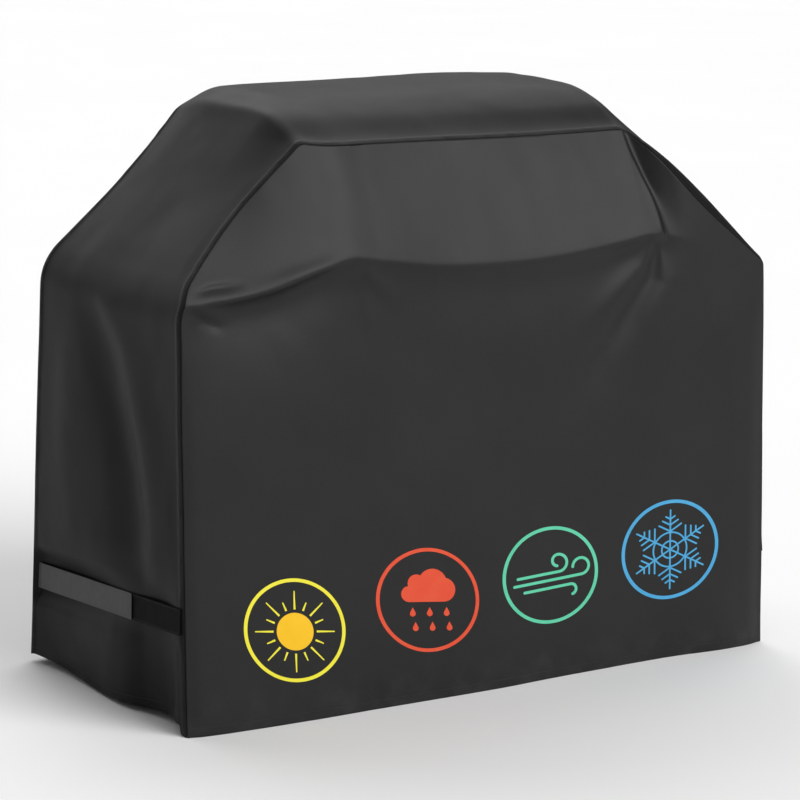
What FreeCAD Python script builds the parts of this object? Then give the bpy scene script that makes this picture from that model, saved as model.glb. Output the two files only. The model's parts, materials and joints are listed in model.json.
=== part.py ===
"""Fabric cover for a gas grill cart, as it hangs when it is worn.

A sewn shell, open at the bottom: a front panel, a back panel and one long gusset strip that runs
up the left side, over the lid and down the right side. The allowance of each long seam is inside,
bound with tape. A hook-and-loop strap on each side gathers the gusset, and four weather badges are
heat-pressed on the front.

Millimetres, +Z up, front towards -Y. The origin is the middle of the hem, on the ground.
Every panel is a folded plate: flat facets of one fabric thickness, mitred where they meet.
"""

import FreeCAD, Part
import math
import os

V = FreeCAD.Vector

# ---------------------------------------------------------------- driving dimensions
WIDTH = 1470.0            # over the sides, at the shoulders
DEPTH = 642.0             # front to back, at the shoulders
HEM_FLARE_SIDE = 20.0     # how far the hem stands out past the sides
HEM_FLARE_FRONT = 33.0    # and past the front and the back
FLARE_START = 2.0         # how much of that the front and the back have where the flare ends
SKIRT_Z = 400.0           # where the flare ends
SHOULDER_Z = 880.0        # height of the side shelves under the cover
SEAM_TOP_Z = 1183.0       # height of the front seam over the lid
BACK_TOP_Z = 1238.0       # height of the back seam over the lid
CROWN_Z = 1268.0          # top of the lid
LID_WIDTH = 824.0         # of the flat top
TOP_SET_BACK = (91.0, 17.0)       # of the two seams over the lid, from the front and the back below

SLOPE_HALF = 584.0        # half width at the fold half way up each slope
SLOPE_Z = (1045.0, 1050.0)        # that fold's height at the front seam and at the back seam
SLOPE_SET_BACK = (72.0, 8.0)      # and how far those seams lie behind the front and the back

CREASE_Z = 925.0          # lower edge of the lid's front, where the front panel turns vertical
CREASE_HALF = 445.0       # its half length
CREASE_STAND = 4.0        # how far it stands out
LID_BULGE_Z = 1060.0      # where the curved lid front is fullest
LID_BULGE_HALF = 432.0    # half the lid's length there
LID_BULGE_SET_BACK = 26.0 # and how far it lies behind the crease

FABRIC = 2.0              # fabric thickness, with its coating and turned seams
SLOPE_BULGE = 6.0         # how far the gusset rounds out between its two seams on the slopes

SEAM_ALLOWANCE = 14.0     # depth of the bound seam allowance inside
BINDING = 1.5             # its thickness
BINDING_GAP = 1.2         # its clearance from the two panels, beyond half its thickness
BINDING_HEM_GAP = 4.0     # it stops this far above the hem

STRAP_WIDTH = 56.0
STRAP = 1.5               # webbing thickness
TAPE = 0.8                # hook tape and loop tape thickness
TAPE_WIDTH = 50.0
FASTENER_GAP = 0.3        # between the hook tape and the loop tape
STRAP_BACK_Z = 197.0      # height of the strap's middle at the back seam
STRAP_RISE = 0.064        # how much it climbs for each millimetre towards the front
ANCHOR_LENGTH = 22.0      # sewn end of the hook strap
ROOT_LENGTH = 170.0       # from the sewn end to the bend
TIP_LENGTH = 258.0        # from the bend to the free end
LOOP_LENGTH = 366.0       # loop strap, from the front seam backwards
SEAM_CLEAR = (5.0, 9.0)   # from the back seam to the anchor, and from the loop strap to the front seam
FASTENER_LENGTH = 134.0   # hook and loop tapes
FASTENER_INSET = (4.0, 6.0)       # loop tape from its strap's end, hook tape from the strap's tip
ANCHOR_CLEAR = 3.1        # room for the root to fold back 150 degrees over its sewn end
BEND_CLEAR = 1.6          # room for the tip to fold back 120 degrees over the root

PRINT = 0.3               # film thickness of the badges
# The sun, the rain, the wind and the snow badge.
BADGE_X = (-489.0, -163.5, 158.0, 481.0)
BADGE_Z = (196.0, 219.0, 231.0, 248.0)
BADGE_HALF_WIDTH = (120.0, 131.0, 129.0, 130.0)
BADGE_HALF_HEIGHT = (110.0, 113.0, 108.0, 113.0)
BADGE_DROP = (0.125, 0.125, 0.04, 0.0)    # the print's fall for each millimetre to the right

# ---------------------------------------------------------------- the outline, hem to hem
HALF = WIDTH / 2
LID_HALF = LID_WIDTH / 2
SIDE_Y = DEPTH / 2
HEM_Y = SIDE_Y + HEM_FLARE_FRONT

# x, front seam (y, z), back seam (y, z) at each fold of the left half, from the hem to the top
LEFT_FOLDS = [
    (-HALF - HEM_FLARE_SIDE, (-HEM_Y, 0.0), (HEM_Y, 0.0)),
    (-HALF, (-SIDE_Y - FLARE_START, SKIRT_Z), (SIDE_Y + FLARE_START, SKIRT_Z)),
    (-HALF, (-SIDE_Y, SHOULDER_Z), (SIDE_Y, SHOULDER_Z)),
    (-SLOPE_HALF, (SLOPE_SET_BACK[0] - SIDE_Y, SLOPE_Z[0]), (SIDE_Y - SLOPE_SET_BACK[1], SLOPE_Z[1])),
    (-LID_HALF, (TOP_SET_BACK[0] - SIDE_Y, SEAM_TOP_Z), (SIDE_Y - TOP_SET_BACK[1], BACK_TOP_Z)),
]
FOLDS = LEFT_FOLDS + [(-x, front, back) for x, front, back in reversed(LEFT_FOLDS)]

# share of the depth, and share of the crown's height, at each column across the gusset
CROWN = [(0.0, 0.0), (0.26, 0.50), (0.54, 1.0), (0.80, 1.0), (1.0, 0.0)]
TOP_FOLDS = (4, 5)
SLOPE_FOLDS = (3, 6)


def gusset_point(fold, column):
    """A corner of the gusset's facets: a fold across it and a column along it."""
    x, (front_y, front_z), (back_y, back_z) = FOLDS[fold]
    share, crown = CROWN[column]
    point = V(x, front_y + share * (back_y - front_y), front_z + share * (back_z - front_z))
    if fold in TOP_FOLDS:
        point.z += crown * (CROWN_Z - point.z)
    if fold in SLOPE_FOLDS:
        slope = math.atan2(SEAM_TOP_Z - SHOULDER_Z, HALF - LID_HALF)
        outward = V(math.copysign(math.sin(slope), x), 0, math.cos(slope))
        point += outward * (SLOPE_BULGE * crown)
    return point


def seam(back):
    """The corners along the front seam or the back seam, from the left hem to the right hem."""
    column = len(CROWN) - 1 if back else 0
    return [gusset_point(fold, column) for fold in range(len(FOLDS))]


# ---------------------------------------------------------------- facets of the three panels
def quad(a, b, c, d):
    return [(a, b, c), (a, c, d)]


def gusset_facets():
    facets = []
    for fold in range(len(FOLDS) - 1):
        for column in range(len(CROWN) - 1):
            a = gusset_point(fold, column)
            b = gusset_point(fold + 1, column)
            c = gusset_point(fold + 1, column + 1)
            d = gusset_point(fold, column + 1)
            facets += quad(a, b, c, d)
    return facets


def front_facets():
    """Skirt, apron, the two bands of the lid's curved front, and the hollow beside it."""
    edge = seam(back=False)
    last = len(edge) - 1
    crease = [V(side * CREASE_HALF, -SIDE_Y - CREASE_STAND, CREASE_Z) for side in (-1, 1)]
    bulge = [V(side * LID_BULGE_HALF, LID_BULGE_SET_BACK - SIDE_Y, LID_BULGE_Z) for side in (-1, 1)]
    facets = quad(edge[last], edge[last - 1], edge[1], edge[0])
    facets += quad(edge[last - 1], edge[last - 2], edge[2], edge[1])
    facets += quad(edge[last - 2], crease[1], crease[0], edge[2])
    facets += quad(crease[1], bulge[1], bulge[0], crease[0])
    facets += quad(bulge[1], edge[5], edge[4], bulge[0])
    facets += [(edge[2], crease[0], edge[3]), (crease[0], bulge[0], edge[3])]
    facets += [(bulge[0], edge[4], edge[3])]
    facets += [(edge[7], edge[6], crease[1]), (crease[1], edge[6], bulge[1])]
    facets += [(bulge[1], edge[6], edge[5])]
    return facets


def back_facets():
    edge = seam(back=True)
    last = len(edge) - 1
    facets = []
    for k in range(4):
        facets += quad(edge[k], edge[k + 1], edge[last - k - 1], edge[last - k])
    return facets


def key(point):
    return (round(point.x, 3), round(point.y, 3), round(point.z, 3))


def normal(facet):
    a, b, c = facet
    return (b - a).cross(c - a).normalize()


def solve3(rows):
    """The shortest vector v with v.n closest to s for each (n, s) in rows."""
    m = FreeCAD.Matrix()
    entries = [[1e-9 if i == j else 0.0 for j in range(3)] for i in range(3)]
    right = [0.0, 0.0, 0.0]
    for n, s in rows:
        n = (n.x, n.y, n.z)
        for i in range(3):
            right[i] += n[i] * s
            for j in range(3):
                entries[i][j] += n[i] * n[j]
    m.A = (*entries[0], 0, *entries[1], 0, *entries[2], 0, 0, 0, 0, 1)
    return m.inverse().multVec(V(*right))


def mitres(facets):
    """For each corner, the vector from the outer surface to the inner one."""
    around = {}
    for facet in facets:
        n = normal(facet)
        for point in facet:
            near = around.setdefault(key(point), [])
            if all(n.dot(other) < 0.9999 for other in near):
                near.append(n)
    found = {}
    for corner, near in around.items():
        rows = [(n, -FABRIC) for n in near]
        if corner[2] == 0.0:
            rows.append((V(0, 0, 1), 0.0))
        found[corner] = solve3(rows)
    return found


def triangle(a, b, c):
    return Part.Face(Part.makePolygon([a, b, c, a]))


def closed_solid(faces):
    solid = Part.makeSolid(Part.makeShell(faces))
    if solid.Volume < 0:
        solid.reverse()
    solid = solid.removeSplitter()
    assert solid.isValid() and solid.isClosed()
    return solid


def panel_solid(facets, inward):
    """A folded plate: the outer facets, the same facets moved inward, and a rim round the edge."""
    faces = []
    edges = {}
    for facet in facets:
        inner = [p + inward[key(p)] for p in facet]
        faces.append(triangle(*facet))
        faces.append(triangle(inner[2], inner[1], inner[0]))
        for k in range(3):
            a, b = facet[k], facet[(k + 1) % 3]
            pair = tuple(sorted((key(a), key(b))))
            edges.setdefault(pair, []).append((a, b))
    for uses in edges.values():
        if len(uses) == 1:
            a, b = sorted(uses[0], key=key)
            inner_a, inner_b = a + inward[key(a)], b + inward[key(b)]
            faces.append(triangle(a, b, inner_b))
            faces.append(triangle(a, inner_b, inner_a))
    return closed_solid(faces)


# ---------------------------------------------------------------- bound seam allowances
def binding(points, inward):
    """A fin along a seam, inside the corner that its two panels make."""
    half = BINDING / 2
    rings = []
    for k, point in enumerate(points):
        before = points[max(k - 1, 0)]
        after = points[min(k + 1, len(points) - 1)]
        depth = inward[key(point)].Length + half + BINDING_GAP
        fin = inward[key(point)].normalize()
        along = (after - before).normalize()
        across = along.cross(fin).normalize() * half
        top = point + fin * depth
        tip = point + fin * (depth + SEAM_ALLOWANCE)
        ring = [top - across, tip - across, tip + across, top + across]
        if k in (0, len(points) - 1):
            ring = [corner + V(0, 0, BINDING_HEM_GAP - corner.z) for corner in ring]
        rings.append(ring)
    faces = []
    for low, high in zip(rings, rings[1:]):
        for k in range(4):
            a, b = low[k], low[(k + 1) % 4]
            c, d = high[(k + 1) % 4], high[k]
            faces += [triangle(a, b, c), triangle(a, c, d)]
    for ring in (rings[0], rings[-1]):
        faces += [triangle(*ring[:3]), triangle(ring[0], ring[2], ring[3])]
    return closed_solid(faces)


# ---------------------------------------------------------------- straps
def seam_y(z):
    """How far the front and back seams are from the middle at a height on the skirt."""
    return HEM_Y - (HEM_FLARE_FRONT - FLARE_START) * z / SKIRT_Z


class SideFrame:
    """Directions on one side of the cover, where its strap lies: along, outward and across."""

    def __init__(self, side):
        self.side = side
        tilt = math.atan2(HEM_FLARE_SIDE, SKIRT_Z)
        self.outward = V(side * math.cos(tilt), 0, math.sin(tilt))
        along = V(0, -1, STRAP_RISE)
        self.along = (along - self.outward * along.dot(self.outward)).normalize()
        self.across = self.outward.cross(self.along).normalize()
        if self.across.z < 0:
            self.across = self.across * -1
        wall_x = side * (HALF + HEM_FLARE_SIDE * (1 - STRAP_BACK_Z / SKIRT_Z))
        self.start = V(wall_x, seam_y(STRAP_BACK_Z) - SEAM_CLEAR[0], STRAP_BACK_Z)

    def at(self, along, out=0.0, across=0.0):
        return self.start + self.along * along + self.outward * out + self.across * across

    def slab(self, start, end, low, high, width, round_start=False, round_end=False):
        """A flat strip from start to end along the strap, low to high above the fabric."""
        radius = (high - low) / 2
        outline = [(start, low), (end, low), (end, high), (start, high)]
        points = [self.at(a, o, -width / 2) for a, o in outline]
        strip = Part.Face(Part.makePolygon(points + points[:1])).extrude(self.across * width)
        for wanted, place in ((round_start, start), (round_end, end)):
            if wanted:
                middle = self.at(place, low + radius, -width / 2)
                strip = strip.fuse(Part.makeCylinder(radius, width, middle, self.across))
        return strip.removeSplitter()


LOOP_TOP = STRAP + TAPE
HOOK_LOW = LOOP_TOP + FASTENER_GAP
STRAP_LOW = HOOK_LOW + TAPE
STRAP_HIGH = STRAP_LOW + STRAP
STRAP_MIDDLE = STRAP_LOW + STRAP / 2
ROOT_START = ANCHOR_LENGTH + ANCHOR_CLEAR
BEND = ROOT_START + ROOT_LENGTH
TIP_END = BEND + TIP_LENGTH
HOOK_END = TIP_END - FASTENER_INSET[1]
LOOP_END = 2 * seam_y(STRAP_BACK_Z) - SEAM_CLEAR[0] - SEAM_CLEAR[1]


def strap_solids(side, name):
    frame = SideFrame(side)
    loop_start = LOOP_END - LOOP_LENGTH
    hook_start = HOOK_END - FASTENER_LENGTH
    tape_start = loop_start + FASTENER_INSET[0]
    return {
        f"{name}_strap_anchor": frame.slab(0, ANCHOR_LENGTH, 0.0, STRAP_HIGH, STRAP_WIDTH),
        f"{name}_strap_root": frame.slab(
            ROOT_START, BEND - BEND_CLEAR, STRAP_LOW, STRAP_HIGH, STRAP_WIDTH, round_start=True
        ),
        f"{name}_strap_tip": frame.slab(
            BEND, TIP_END, STRAP_LOW, STRAP_HIGH, STRAP_WIDTH, round_start=True
        ),
        f"{name}_hook_tape": frame.slab(hook_start, HOOK_END, HOOK_LOW, STRAP_LOW, TAPE_WIDTH),
        f"{name}_loop_strap": frame.slab(loop_start, LOOP_END, 0.0, STRAP, STRAP_WIDTH),
        f"{name}_loop_tape": frame.slab(
            tape_start, tape_start + FASTENER_LENGTH, STRAP, LOOP_TOP, TAPE_WIDTH
        ),
    }


# ---------------------------------------------------------------- badges
# Each is drawn in a ring about its own middle, and then stretched to its printed width and height.
RING_RADIUS = 117.5
RING_STROKE = 8.0
SUN_MIDDLE = -3.0                 # height in its ring
SUN_DISC = 42.5
SUN_LONG_RAY = (50.0, 92.0)       # from its foot to its tip
SUN_SHORT_RAY = (50.5, 71.0)
SUN_RAY_WIDTH = (4.6, 2.6)        # at its foot and at its tip
CLOUD_PUFFS = ((-44, 14, 18), (-27, 38, 20), (10, 37, 33.5), (35.5, 23, 27))    # x, y, radius
CLOUD_BASE = (-44, -4, 35.5, 30)  # x and y of two opposite corners
DROP_ROWS = ((-36.5, -30), (-30.5, -63))  # the left drop of each row
DROP_PITCH = 39.0
DROP_RADIUS = 6.6
DROP_HEIGHT = 14.0                # of its point above its middle
WIND_STROKE = 6.8
WIND_CLIMB = 5.0                  # degrees
WIND_GUSTS = (                    # straight from x to x at y, then curls up or down: radius and turn
    (-80.0, 20.5, 4.7, 1, ((21.0, 180), (14.0, 165))),
    (-90.0, 75.0, -12.3, 1, ((20.0, 265),)),
    (-67.0, 46.0, -31.0, -1, ((12.8, 165),)),
)
FLAKE_STROKE = 3.8
FLAKE_ARM = 93.0
FLAKE_RINGS = (42.4, 22.0)
FLAKE_TWIGS = ((43.0, 31.0), (58.0, 21.5), (72.0, 12.5))    # root along the arm, reach


def flat(wires):
    """Films of the print's thickness, in the badge's plane, one for each closed outline."""
    return [Part.Face(wire).extrude(V(0, 0, PRINT)) for wire in wires]


def polygon(*points):
    corners = [V(x, y, 0) for x, y in points]
    return flat([Part.makePolygon(corners + corners[:1])])[0]


def disc(x, y, radius):
    return Part.makeCylinder(radius, PRINT, V(x, y, 0))


def ring(radius, stroke):
    return disc(0, 0, radius).cut(disc(0, 0, radius - stroke))


def bar(x0, y0, x1, y1, width):
    """A straight stroke with round ends."""
    start, end = V(x0, y0, 0), V(x1, y1, 0)
    tip = (end - start).normalize() * (width / 2)
    half = V(-tip.y, tip.x, 0)
    edges = [
        Part.LineSegment(start - half, end - half).toShape(),
        Part.Arc(end - half, end + tip, end + half).toShape(),
        Part.LineSegment(end + half, start + half).toShape(),
        Part.Arc(start + half, start - tip, start - half).toShape(),
    ]
    return flat([Part.Wire(edges)])[0]


def arc_bar(x, y, radius, start, sweep, width):
    """A curved stroke about (x, y), from the angle start through sweep degrees, with a round end."""
    outer, inner = radius + width / 2, radius - width / 2
    turn = [math.radians(start + sweep * k / 2) for k in range(3)]

    def on(r, angle):
        return V(x + r * math.cos(angle), y + r * math.sin(angle), 0)

    edges = [
        Part.Arc(*(on(outer, t) for t in turn)).toShape(),
        Part.LineSegment(on(outer, turn[2]), on(inner, turn[2])).toShape(),
        Part.Arc(*(on(inner, t) for t in reversed(turn))).toShape(),
        Part.LineSegment(on(inner, turn[0]), on(outer, turn[0])).toShape(),
    ]
    end = on(radius, turn[2])
    return merged(flat([Part.Wire(edges)]) + [disc(end.x, end.y, width / 2)])


def merged(films):
    solid = films[0].multiFuse(films[1:]).removeSplitter()
    assert len(solid.Solids) == 1
    return solid


def sun_rays():
    """Eight long rays and eight short ones between them, each narrower at its tip."""
    wide, narrow = (width / 2 for width in SUN_RAY_WIDTH)
    rays = []
    for k in range(16):
        foot, tip = SUN_LONG_RAY if k % 2 == 0 else SUN_SHORT_RAY
        ray = polygon((foot, -wide), (tip, -narrow), (tip, narrow), (foot, wide))
        ray.rotate(V(0, 0, 0), V(0, 0, 1), 360.0 / 16 * k)
        ray.translate(V(0, SUN_MIDDLE, 0))
        rays.append(ray)
    return rays


def cloud():
    left, low, right, high = CLOUD_BASE
    base = polygon((left, low), (right, low), (right, high), (left, high))
    return merged([disc(*puff) for puff in CLOUD_PUFFS] + [base])


def raindrop(x, y):
    """A disc and a point whose flanks leave the disc along its tangents."""
    lean = math.asin(DROP_RADIUS / DROP_HEIGHT)
    half, foot = DROP_RADIUS * math.cos(lean), y + DROP_RADIUS * math.sin(lean)
    point = polygon((x - half, foot), (x + half, foot), (x, y + DROP_HEIGHT))
    return merged([disc(x, y, DROP_RADIUS), point])


def gust(start, end, y, way, curls):
    """A straight stroke and the arcs that follow it, each starting where the last one ends."""
    strokes = [bar(start, y, end, y, WIND_STROKE)]
    tip, angle = V(end, y, 0), -90.0 * way
    for radius, turn in curls:
        middle = tip - V(radius * math.cos(math.radians(angle)), radius * math.sin(math.radians(angle)), 0)
        strokes.append(arc_bar(middle.x, middle.y, radius, angle, turn * way, WIND_STROKE))
        angle += turn * way
        tip = middle + V(radius * math.cos(math.radians(angle)), radius * math.sin(math.radians(angle)), 0)
    whole = merged(strokes)
    whole.rotate(V(0, 0, 0), V(0, 0, 1), WIND_CLIMB)
    return whole


def snowflake():
    """Six arms with paired twigs, and two rings about the middle."""
    twig_x, twig_y = math.cos(math.radians(30)), math.sin(math.radians(30))
    strokes = [ring(radius, FLAKE_STROKE) for radius in FLAKE_RINGS]
    for k in range(6):
        arm = [bar(0, 0, 0, FLAKE_ARM, FLAKE_STROKE)]
        for root, reach in FLAKE_TWIGS:
            for side in (-1, 1):
                arm.append(bar(0, root, side * reach * twig_x, root + reach * twig_y, FLAKE_STROKE))
        for stroke in arm:
            stroke.rotate(V(0, 0, 0), V(0, 0, 1), 60.0 * k)
        strokes.append(merged(arm))
    return merged(strokes)


def on_front(films, badge):
    """Films stretched to their printed size and moved on to the skirt of the front panel."""
    wide = BADGE_HALF_WIDTH[badge] / RING_RADIUS
    stretch = FreeCAD.Matrix()
    stretch.A11 = wide
    stretch.A21 = -BADGE_DROP[badge] * wide
    stretch.A22 = BADGE_HALF_HEIGHT[badge] / RING_RADIUS
    lean = math.atan2(HEM_FLARE_FRONT - FLARE_START, SKIRT_Z)
    z = BADGE_Z[badge]
    place = FreeCAD.Placement(
        V(BADGE_X[badge], -seam_y(z), z),
        FreeCAD.Rotation(V(1, 0, 0), 90.0 - math.degrees(lean)),
    )
    group = Part.makeCompound([film.transformGeometry(stretch) for film in films])
    group.Placement = place
    return group


def badge_solids():
    sun, rain, wind, snow = range(4)
    drops = [raindrop(x + DROP_PITCH * k, y) for x, y in DROP_ROWS for k in range(3)]
    rim = ring(RING_RADIUS, RING_STROKE)
    return {
        "sun_badge": on_front([rim] + sun_rays(), sun),
        "sun_badge_disc": on_front([disc(0, SUN_MIDDLE, SUN_DISC)], sun),
        "rain_badge": on_front([rim, cloud()] + drops, rain),
        "wind_badge": on_front([rim] + [gust(*row) for row in WIND_GUSTS], wind),
        "snow_badge": on_front([rim, snowflake()], snow),
    }


# ---------------------------------------------------------------- assembly
def main():
    front, back, gusset = front_facets(), back_facets(), gusset_facets()
    inward = mitres(front + back + gusset)
    front_seam, back_seam = seam(back=False), seam(back=True)
    nodes = {
        "front_panel": panel_solid(front, inward),
        "back_panel": panel_solid(back, inward),
        "gusset_panel": panel_solid(gusset, inward),
        "front_seam_binding": binding(front_seam, inward),
        "back_seam_binding": binding(back_seam, inward),
    }
    nodes.update(strap_solids(-1, "left"))
    nodes.update(strap_solids(1, "right"))
    nodes.update(badge_solids())
    os.makedirs("parts", exist_ok=True)
    for name, shape in nodes.items():
        assert shape.isValid(), name
        shape.exportStep(f"parts/{name}.step")
        print(f"{name}: {len(shape.Solids)} solids, {shape.Volume / 1000:.1f} cm3")
    for side, name in ((-1, "left"), (1, "right")):
        frame = SideFrame(side)
        axis = frame.along.cross(frame.outward)
        for joint, place in (("root", ROOT_START), ("bend", BEND)):
            point = frame.at(place, STRAP_MIDDLE)
            print(name, joint, [round(c / 1000, 6) for c in point], [round(c, 6) for c in axis])


main()
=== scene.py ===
"""Looks of the grill cover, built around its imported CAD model. Metres, +Z up, front towards -Y.

The cover is three panels of coated oxford cloth: a front, a back, and the gusset that runs over the
lid between them. Each is a fine grid whose edges roll into the seam grooves, with the bound
allowances inside and a turned, topstitched hem. Straps, tapes, prints and stitches are separate
pieces on top of them.
"""
import json
import math
import bmesh
import bpy
import numpy as np
from mathutils import Matrix, Vector


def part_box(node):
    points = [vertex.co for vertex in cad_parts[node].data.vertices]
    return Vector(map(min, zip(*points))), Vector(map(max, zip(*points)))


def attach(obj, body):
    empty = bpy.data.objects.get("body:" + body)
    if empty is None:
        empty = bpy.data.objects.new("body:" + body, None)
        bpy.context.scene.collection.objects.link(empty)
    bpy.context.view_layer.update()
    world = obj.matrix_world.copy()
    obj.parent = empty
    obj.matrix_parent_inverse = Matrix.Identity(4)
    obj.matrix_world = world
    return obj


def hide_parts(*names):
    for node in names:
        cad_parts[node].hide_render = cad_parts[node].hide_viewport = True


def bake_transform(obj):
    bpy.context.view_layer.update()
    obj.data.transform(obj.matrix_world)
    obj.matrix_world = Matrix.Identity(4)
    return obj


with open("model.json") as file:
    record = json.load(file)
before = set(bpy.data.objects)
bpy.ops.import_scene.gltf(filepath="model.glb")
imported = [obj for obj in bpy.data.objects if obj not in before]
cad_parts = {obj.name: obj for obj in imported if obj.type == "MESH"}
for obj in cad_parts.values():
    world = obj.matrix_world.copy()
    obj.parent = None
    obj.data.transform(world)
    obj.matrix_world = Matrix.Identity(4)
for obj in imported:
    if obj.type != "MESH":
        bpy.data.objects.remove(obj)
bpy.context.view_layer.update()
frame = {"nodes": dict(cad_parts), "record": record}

JOINTS = {joint["name"]: joint for joint in frame["record"]["behaviour"]["joints"]}

# ------------ sizes, from the frame where it has them
LID_HALF = 0.412  # half length of the lid
SIDE_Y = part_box("gusset_panel")[1].y - 0.033  # half depth at the shoulders, inside the hem's flare
FRONT = -SIDE_Y  # the front's plane below the shoulders
SKIRT = 0.4  # where the hem flare ends
LIP_RADIUS = 0.002  # of the fabric's turn into a seam
ALLOWANCE = 0.013  # depth of the seam allowance behind the groove
COVER_MIDDLE = np.array([0, 0, 0.6])
HEM_LIFT = 0.0014  # bottom of the panels above the ground
HEM_DEPTH = 0.022  # of the turned hem
HEM_BEND = 0.0012  # radius of its turn
HEM_STITCH = 0.018  # height of its stitch line
STITCH_PITCH = 0.0052
STITCH_LENGTH = 0.0038
STITCH_RADIUS = 0.00042
STITCH_LIFT = 0.0001  # of a hem's stitch line over the cloth
PRINT_LIFT = 0.0004  # of the badges' film over the cloth
PRINT_SINK = 0.0003  # of its underside into the cloth
PRINT_EDGE = 0.01  # the longest edge in its mesh
PANEL_WIDTH, GUSSET_DEPTH = 1.47, 0.6  # seam to seam, for spacing the grids' columns
PANEL_ROWS, PANEL_COLUMNS, GUSSET_COLUMNS = 232, 280, 98
GUSSET_SPACING = 0.0054  # between the gusset's rows
EDGE_COLUMNS = (0, 0.0085, 0.0115, 0.0145, 0.018, 0.022, 0.027)  # distances from a side seam
TOP_ROWS = (0.0285, 0.0225, 0.018, 0.0145, 0.0115, 0.0085, 0)  # distances from the top seam
TOP_CLEAR = 0.031  # no even row lies between this and the first of them
TOPSTITCH_COLUMN = 3  # the edge column that a seam's stitches follow
FACE_TOP = (-0.4, 0.405)  # x where a face's top edge starts and ends
LIP_PITCH = 0.0008  # between a rolled edge's rows, in the pattern
WEAVE_PITCH = 0.0016
LAYER_STEP = 0.0006  # each layer of a sewn strap end stops short of the next
ANCHOR_INSET = 0.0045  # of the stitched box on that end
ROOT_OVERLAP, TIP_OVERLAP = 0.001, 0.0008  # of a moving length, over what it runs on from
ROOT_BOW = 0.0006  # how far the root stands out between its ends
TIP_INSET, TIP_STITCHED = 0.009, 0.14  # of the stitches on the free end, and their length
BENT_SPACING = 0.0015  # between a strap's rows where it bends
FRONT_LEAN = 0.031  # how far the front panel flares out at the hem, in the CAD


# ------------ small mathematics
def smooth_curve(*points):
    """A function that runs smoothly through (x, value) points and is level beyond them."""
    px = np.array([p[0] for p in points], float)
    pv = np.array([p[1] for p in points], float)
    slope = np.gradient(pv, px)

    def at(x):
        x = np.clip(x, px[0], px[-1])
        k = np.clip(np.searchsorted(px, x, side="right") - 1, 0, len(px) - 2)
        step = px[k + 1] - px[k]
        t = (x - px[k]) / step
        a = (1 + 2 * t) * (1 - t) ** 2 * pv[k] + t * (1 - t) ** 2 * step * slope[k]
        b = t * t * (3 - 2 * t) * pv[k + 1] - t * t * (1 - t) * step * slope[k + 1]
        return a + b

    return at


def step_up(x, low, high):
    """0 below low, 1 above high, smooth between."""
    t = np.clip((x - low) / (high - low), 0, 1)
    return t * t * (3 - 2 * t)


def bump(x, width):
    return np.exp(-((x / width) ** 2))


def hinge(x, radius):
    """max(x, 0), rounded over about that radius."""
    return 0.5 * (x + np.sqrt(x * x + radius * radius)) - 0.5 * radius * np.exp(-np.abs(x) / (4 * radius))


def unit(v):
    return v / (np.linalg.norm(v, axis=-1, keepdims=True) + 1e-12)


def ripples(a, b, size, seed):
    """Smooth noise from -1 to 1 over two coordinates, with features of about that size."""
    lattice = np.random.default_rng(seed).uniform(-1, 1, (64, 64))
    x, y = a / size, b / size
    i, j = np.floor(x).astype(int), np.floor(y).astype(int)
    fx, fy = x - i, y - j
    fx, fy = fx ** 3 * (fx * (6 * fx - 15) + 10), fy ** 3 * (fy * (6 * fy - 15) + 10)
    v = [[lattice[(i + p) % 64, (j + q) % 64] for q in (0, 1)] for p in (0, 1)]
    low = v[0][0] * (1 - fx) + v[1][0] * fx
    high = v[0][1] * (1 - fx) + v[1][1] * fx
    return low * (1 - fy) + high * fy


def stacked(*values):
    """Arrays side by side, as the last axis of one array."""
    return np.stack(np.broadcast_arrays(*values), axis=-1)


def distances_along(points):
    """How far each point lies from the first one, along the line through them all."""
    return np.concatenate([[0], np.cumsum(np.linalg.norm(np.diff(points, axis=0), axis=1))])


def between(at, lengths, rows):
    """Rows of an array at lengths between its own."""
    return stacked(*[np.interp(at, lengths, column) for column in rows.T])


def along_line(a, b, points):
    """For each (a, b): its distance from a polyline, and the share of the way along it."""
    points = np.array(points, float)
    passed = distances_along(points)
    distance = np.full(np.shape(a), np.inf)
    share = np.zeros(np.shape(a))
    for k, way in enumerate(unit(np.diff(points, axis=0))):
        ra, rb = a - points[k][0], b - points[k][1]
        t = np.clip(ra * way[0] + rb * way[1], 0, passed[k + 1] - passed[k])
        here = np.hypot(ra - t * way[0], rb - t * way[1])
        near = here < distance
        distance = np.where(near, here, distance)
        share = np.where(near, (passed[k] + t) / passed[-1], share)
    return distance, share


def fold(a, b, points, height, width, ends, spread=1.0):
    """A ridge, or a valley below 0, along a polyline. It fades at both ends and widens by spread."""
    distance, share = along_line(a, b, points)
    strength = step_up(share, 0, ends[0]) * (1 - step_up(share, 1 - ends[1], 1))
    return height * strength * bump(distance, width * (1 + (spread - 1) * share))


def folds(a, b, table):
    """The sum of a table's folds, each with its points, height, width, ends and spread."""
    return sum(fold(a, b, *row) for row in table)


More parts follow.
